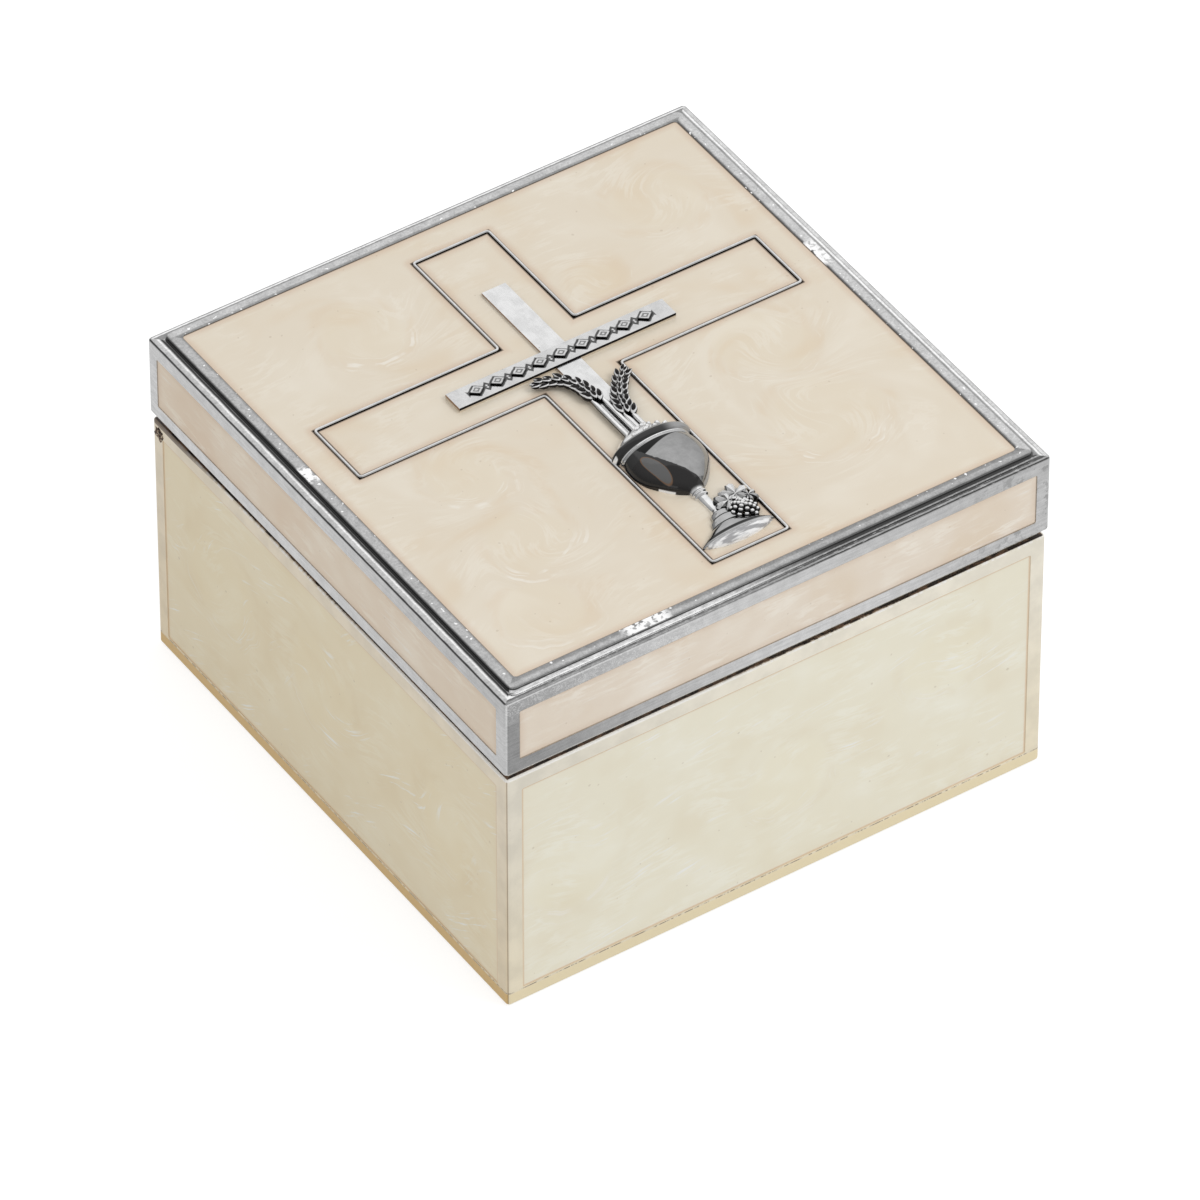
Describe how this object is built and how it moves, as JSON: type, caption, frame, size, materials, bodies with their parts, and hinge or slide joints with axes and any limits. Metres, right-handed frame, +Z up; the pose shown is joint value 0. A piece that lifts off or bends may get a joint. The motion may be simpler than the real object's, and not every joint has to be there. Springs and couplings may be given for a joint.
{
  "type": "keepsake box",
  "caption": "Square cast-metal keepsake box with cream enamel panels, a hinged lid and a relief of a chalice, wheat and grapes on a Latin cross.",
  "frame": {"origin": "middle of the underside, on the felt's lower face, where the box stands", "axes": "+Z up, -Y out of the front, +Y towards the hinge, +X to the right seen from the front"},
  "size_m": [0.09, 0.09, 0.0613],
  "materials": {
    "base_metal": "satin champagne plate",
    "lid_metal": "polished silver plate",
    "emblem_metal": "polished silver plate, finely brushed",
    "relief_metal": "polished silver plate over cast relief",
    "pin_metal": "dark, peened",
    "base_enamel": "gloss enamel, pearly cream",
    "lid_enamel": "gloss enamel, pearly cream",
    "velvet": "short velvet pile",
    "felt": "pressed felt"
  },
  "bodies": {
    "base": {"base_shell": "base_metal", "base_enamel_front": "base_enamel", "base_enamel_back": "base_enamel", "base_enamel_left": "base_enamel", "base_enamel_right": "base_enamel", "floor_pad": "velvet", "wall_lining_front": "velvet", "wall_lining_back": "velvet", "wall_lining_left": "velvet", "wall_lining_right": "velvet", "felt_pad": "felt", "hinge_pin": "pin_metal"},
    "lid": {"lid_shell": "lid_metal", "lid_enamel_front": "lid_enamel", "lid_enamel_back": "lid_enamel", "lid_enamel_left": "lid_enamel", "lid_enamel_right": "lid_enamel", "lid_enamel_field": "lid_enamel", "lid_enamel_cross": "lid_enamel", "cross_outline": "emblem_metal", "cross_upright": "emblem_metal", "cross_bar": "emblem_metal", "chalice": "relief_metal", "wheat_ear_left": "relief_metal", "wheat_ear_right": "relief_metal", "grape_cluster": "relief_metal", "vine_leaves": "relief_metal", "lid_lining": "velvet"}
  },
  "joints": [
    {"name": "lid_hinge", "type": "hinge", "parent": "base", "child": "lid", "pos_m": [0, 0.04297, 0.0407], "axis": [-1, 0, 0], "range_deg": [0, 98]}
  ]
}
